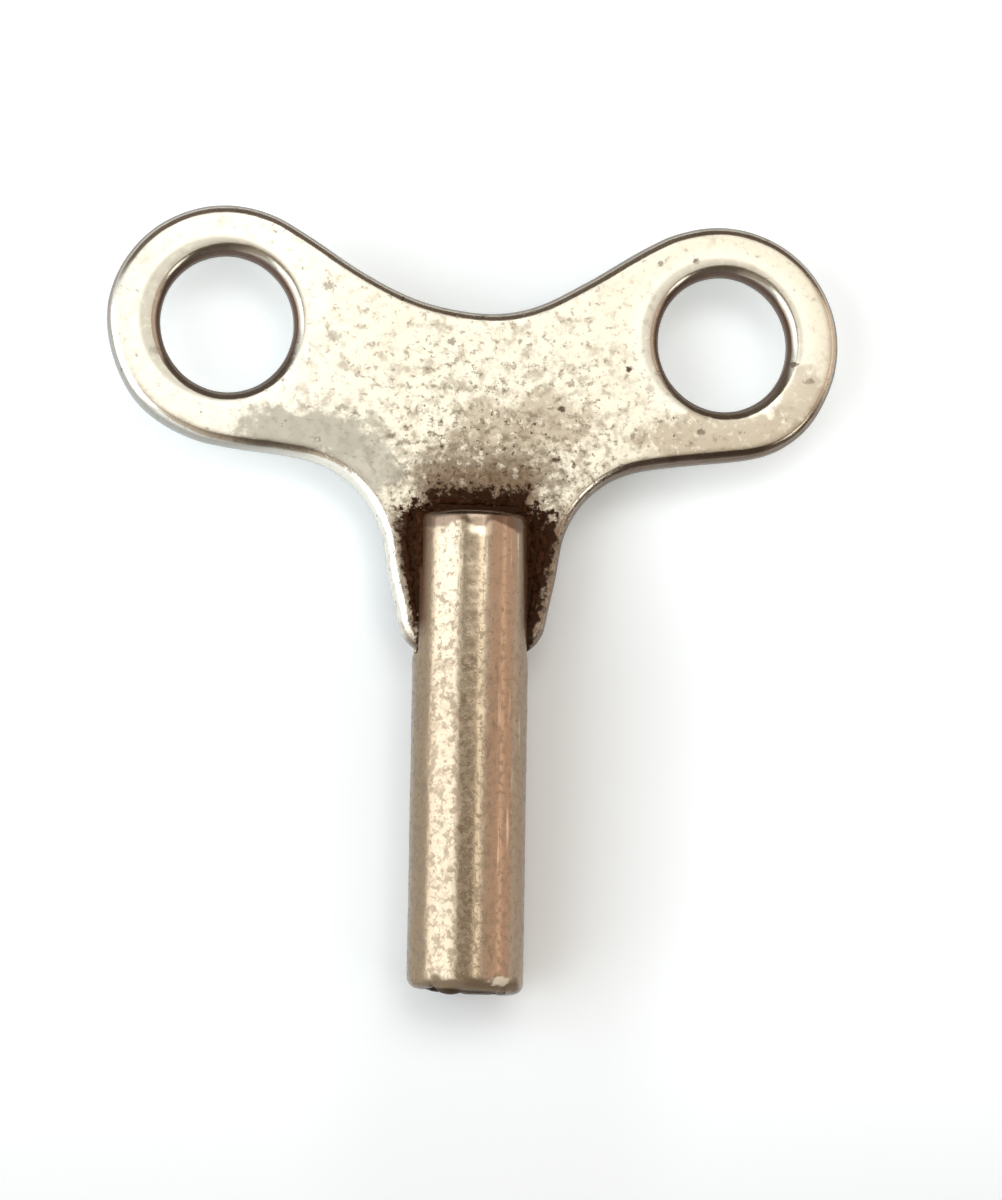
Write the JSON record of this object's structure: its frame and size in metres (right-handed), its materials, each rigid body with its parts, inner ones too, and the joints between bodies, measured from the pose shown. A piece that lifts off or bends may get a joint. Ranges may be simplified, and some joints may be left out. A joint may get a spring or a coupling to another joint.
{
  "type": "clock winding key",
  "caption": "Winged winding key: flat bow with finger loops, slotted and brazed onto a round barrel with a square socket in its end.",
  "frame": {"origin": "centre of the square socket's mouth, on the axis of the barrel", "axes": "+Y up the barrel from its mouth to the bow, +X across the wings, +Z out of the front face of the bow"},
  "size_m": [0.045, 0.0475, 0.007],
  "materials": {
    "plated_bow": "old nickel plating on steel, warm silver, satin with fine dark pits and worn spots",
    "plated_barrel": "old nickel plating on steel, browner than the bow, drawn lengthways, pitted",
    "braze": "braze metal under dark brown oxide and old flux, rough and ragged at its edge"
  },
  "bodies": {
    "root": {"bow": "plated_bow", "barrel": "plated_barrel", "braze_front": "braze", "braze_back": "braze"}
  },
  "joints": []
}
